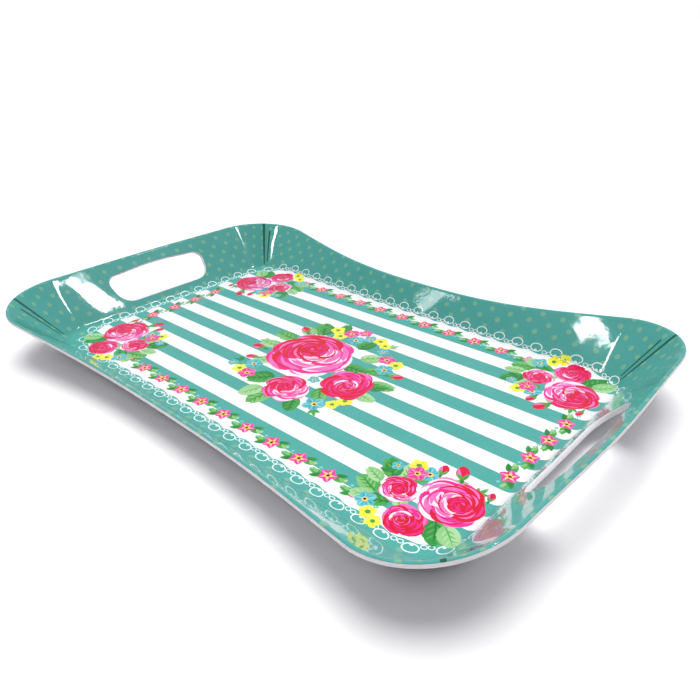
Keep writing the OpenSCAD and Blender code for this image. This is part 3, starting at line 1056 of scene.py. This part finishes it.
def brushedInk(name, stops, fade=0.12, streak=0.16):
    # painted colour: tone of the shape, a fade along the brush and streaks across it
    mixer = Mixer(name)
    mark = mixer.add("ShaderNodeAttribute", attribute_name="stroke").outputs["Vector"]
    parts = mixer.add("ShaderNodeSeparateXYZ", {0: mark})
    bristle = mixer.add("ShaderNodeCombineXYZ", {
        0: mixer.sum(parts.outputs[0], 1.4, "MULTIPLY"), 1: mixer.sum(parts.outputs[1], 4.0, "MULTIPLY"),
        2: mixer.sum(parts.outputs[2], 31.0, "MULTIPLY")})
    streaks = mixer.add("ShaderNodeTexNoise", {"Vector": bristle.outputs[0], "Scale": 1.3,
                                               "Detail": 2.0}).outputs[0]
    run = mixer.sum(mixer.sum(parts.outputs[0], -0.5), fade, "MULTIPLY")
    grain = mixer.sum(mixer.sum(streaks, -0.5), streak, "MULTIPLY")
    speck = mixer.sum(mixer.sum(inkSpeck(mixer), -0.5), 0.05, "MULTIPLY")
    value = mixer.sum(mixer.sum(parts.outputs[2], run), mixer.sum(grain, speck))
    return glazed(mixer, mixer.ramp(value, stops))


def whiteMelamine():
    mixer = Mixer("whiteMelamine")
    where = mixer.add("ShaderNodeTexCoord").outputs["Object"]
    cloud = mixer.add("ShaderNodeTexNoise", {"Vector": where, "Scale": 60.0, "Detail": 4.0}).outputs[0]
    fine = mixer.add("ShaderNodeTexNoise", {"Vector": where, "Scale": 700.0, "Detail": 2.0}).outputs[0]
    colour = mixer.ramp(cloud, [(0.3, "e7e5e9"), (0.7, "ebeaed")])
    rough = mixer.add("ShaderNodeMapRange", {"Value": cloud, "To Min": 0.25, "To Max": 0.3})
    bump = mixer.add("ShaderNodeBump", {"Strength": 0.04, "Distance": 0.0006, "Height": fine})
    shader = mixer.add("ShaderNodeBsdfPrincipled", {"Base Color": colour, "Roughness": rough.outputs[0],
                                                    "Normal": bump.outputs[0], "IOR": 1.5})
    mixer.add("ShaderNodeOutputMaterial", {"Surface": shader.outputs[0]})
    return mixer.material


def tealInk(name):
    return flatInk(name, [(0.25, "46a198"), (0.75, "54b0a7")])


def whiteInk():
    return flatInk("whiteInk", [(0.3, "f4f2f5"), (0.7, "fbfafc")])


def laceInk():
    return flatInk("laceInk", [(0.3, "dff1ee"), (0.7, "f4fbfa")])


def dotInk():
    return flatInk("dotInk", [(0.3, "74b293"), (0.7, "80bc9c")])


def lapInk():
    return flatInk("lapInk", [(0.3, "045a48"), (0.7, "076852")])


def leafInk():
    return brushedInk("leafInk", [(0.0, "187a30"), (0.25, "349a40"), (0.5, "58ac4e"),
                                  (0.75, "86c278"), (1.0, "acd69e")])


def roseInk():
    return brushedInk("roseInk", [(0.0, "d60026"), (0.2, "e60040"), (0.36, "ea1c8c"), (0.6, "ee5cb4"),
                                  (0.76, "f284c6"), (0.9, "f4cce2"), (1.0, "f6eaf1")])


def yellowInk():
    return brushedInk("yellowInk", [(0.0, "d8c41c"), (0.4, "f6ee2a"), (1.0, "fffa7a")])


def blueInk():
    return brushedInk("blueInk", [(0.0, "1a7f90"), (0.4, "4cb4c0"), (1.0, "9adde0")])


def pinkInk():
    return brushedInk("pinkInk", [(0.0, "c01a6a"), (0.45, "f23a98"), (1.0, "ffa6d2")])


def goldInk():
    return flatInk("goldInk", [(0.3, "f6c84a"), (0.7, "ffdf72")])


def heartInk():
    return flatInk("heartInk", [(0.3, "4c8f2a"), (0.7, "6aa83c")])


def eyeInk():
    return flatInk("eyeInk", [(0.3, "14100c"), (0.7, "2a1c12")])


def makeMaterials():
    return {
        "tealGround": tealInk("tealInk"), "tealStripes": tealInk("tealStripeInk"),
        "whiteBand": whiteInk(), "laceThread": laceInk(), "polkaDots": dotInk(), "lapLines": lapInk(),
        "leaves": leafInk(), "roses": roseInk(),
        "yellowBlossoms": yellowInk(), "blueBlossoms": blueInk(), "pinkBlossoms": pinkInk(),
        "goldHearts": goldInk(), "greenHearts": heartInk(), "darkEyes": eyeInk(),
    }


# build the tray

drawField()
drawDots()
drawLaps()
drawLace()
drawGarland()
for sx, sy in ((1, 1), (-1, 1), (1, -1), (-1, -1)):     # the plan is the back left corner
    drawBouquet(cornerBouquet, sx, sy)
drawBouquet(middleBouquet)
print("drawn", len(printShapes), "shapes")

shell = makeShell(whiteMelamine())
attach(shell, "root")
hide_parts("tray_body")
print("shell made")

for name, piece in layPrint(makeMaterials()).items():
    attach(piece, "root")
    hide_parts("printed_sheet", "glaze_coat")
print("print laid")


# camera, floor and light

view = {"from": (0.2901, -0.2662, 0.2174), "to": (0.0077, 0.0268, 0.0045), "roll": -1.99, "lens": 32.94}


def placeCamera():
    data = bpy.data.cameras.new("camera")
    data.lens, data.sensor_width = view["lens"], 36.0
    data.clip_start = 0.01
    camera = bpy.data.objects.new("camera", data)
    bpy.context.scene.collection.objects.link(camera)
    place = Vector(view["from"])
    ahead = (Vector(view["to"]) - place).normalized()
    level = ahead.cross(Vector((0, 0, 1))).normalized()
    tall = level.cross(ahead)
    roll = math.radians(view["roll"])
    right = level * math.cos(roll) + tall * math.sin(roll)
    up = right.cross(ahead)
    turn = Matrix((right, up, -ahead)).transposed().to_4x4()
    camera.matrix_world = Matrix.Translation(place) @ turn
    bpy.context.scene.camera = camera


softboxes = {       # direction, distance, width, height, power, and the spot on the tray that shows it
    "boxRight": ((0.445, 0.36, 0.82), 1.5, 0.07, 0.13, 1.6, (-0.190, -0.062, 0.022)),
    "boxStrip": ((0.24, 0.46, 0.86), 1.5, 0.3, 0.03, 0.8, (-0.1765, -0.012, 0.0065)),
    "boxCorner": ((0.52, 0.42, 0.74), 1.5, 0.14, 0.03, 0.5, (-0.178, 0.084, 0.008)),
    "boxFar": ((-0.33, -0.40, 0.86), 1.5, 0.07, 0.1, 0.9, (0.141, 0.120, 0.023)),
    "boxBack": ((-0.54, -0.48, 0.69), 1.6, 0.06, 0.1, 0.22, (0.016, 0.1135, 0.018)),
}


def softbox(name, direction, far, wide, tall, power, aim):
    data = bpy.data.lights.new(name, "AREA")
    data.shape, data.size, data.size_y, data.energy = "RECTANGLE", wide, tall, power
    lamp = bpy.data.objects.new(name, data)
    bpy.context.scene.collection.objects.link(lamp)
    lamp.location = Vector(aim) + Vector(direction).normalized() * far
    lamp.rotation_euler = (Vector(aim) - lamp.location).to_track_quat("-Z", "Y").to_euler()
    lamp.visible_diffuse = False         # seen only in the gloss


studio = {"low": 0.08, "high": 0.45, "from": -0.1, "to": 0.95, "toward": (-0.16, 0.34, 0.93),
          "colour": (0.95, 0.94, 1.0, 1.0)}
keyLight = {"toward": (-0.1, 0.12, 0.98), "strength": 2.85, "spread": math.radians(44)}


def placeKey():
    # even light over the whole floor; the gloss shows the softboxes instead
    data = bpy.data.lights.new("key", "SUN")
    data.energy, data.angle = keyLight["strength"], keyLight["spread"]
    lamp = bpy.data.objects.new("key", data)
    bpy.context.scene.collection.objects.link(lamp)
    lamp.rotation_euler = Vector(keyLight["toward"]).to_track_quat("Z", "Y").to_euler()
    lamp.visible_glossy = False


def makeWorld():
    world = bpy.data.worlds.new("studio")
    world.use_nodes = True
    tree = world.node_tree
    tree.nodes.clear()
    add, join = tree.nodes.new, tree.links.new
    where = add("ShaderNodeTexCoord")
    parts = add("ShaderNodeVectorMath")
    parts.operation = "DOT_PRODUCT"
    parts.inputs[1].default_value = studio["toward"]
    height = add("ShaderNodeMapRange")
    height.interpolation_type = "SMOOTHSTEP"
    for socket, value in (("From Min", studio["from"]), ("From Max", studio["to"]),
                          ("To Min", studio["low"]), ("To Max", studio["high"])):
        height.inputs[socket].default_value = value
    dome, paper, mix, path = (add("ShaderNodeBackground"), add("ShaderNodeBackground"),
                              add("ShaderNodeMixShader"), add("ShaderNodeLightPath"))
    dome.inputs["Color"].default_value = studio["colour"]
    paper.inputs["Strength"].default_value = 1.0
    paper.inputs["Color"].default_value = (1, 1, 1, 1)
    out = add("ShaderNodeOutputWorld")
    join(where.outputs["Generated"], parts.inputs[0])
    join(parts.outputs["Value"], height.inputs["Value"])
    join(height.outputs[0], dome.inputs["Strength"])
    join(path.outputs["Is Camera Ray"], mix.inputs[0])
    join(dome.outputs[0], mix.inputs[1])
    join(paper.outputs[0], mix.inputs[2])
    join(mix.outputs[0], out.inputs[0])
    bpy.context.scene.world = world


def makeFloor():
    mixer = Mixer("paleFloor")
    where = mixer.add("ShaderNodeTexCoord").outputs["Object"]
    cloud = mixer.add("ShaderNodeTexNoise", {"Vector": where, "Scale": 3.0, "Detail": 2.0}).outputs[0]
    colour = mixer.ramp(cloud, [(0.3, "fafafb"), (0.7, "fdfdfd")])
    shader = mixer.add("ShaderNodeBsdfPrincipled", {"Base Color": colour, "Roughness": 0.9,
                                                    "Specular IOR Level": 0.1})
    mixer.add("ShaderNodeOutputMaterial", {"Surface": shader.outputs[0]})
    mesh = bpy.data.meshes.new("floor")
    far = 9.0
    mesh.from_pydata([(-far, -far, 0), (far, -far, 0), (far, far, 0), (-far, far, 0)], [], [(0, 1, 2, 3)])
    floor = newObject("floor", mesh, mixer.material)


placeCamera()
makeWorld()
makeFloor()
placeKey()
for name, box in softboxes.items():
    softbox(name, *box)
bpy.context.scene.view_settings.view_transform = "Standard"
print("camera and light placed")
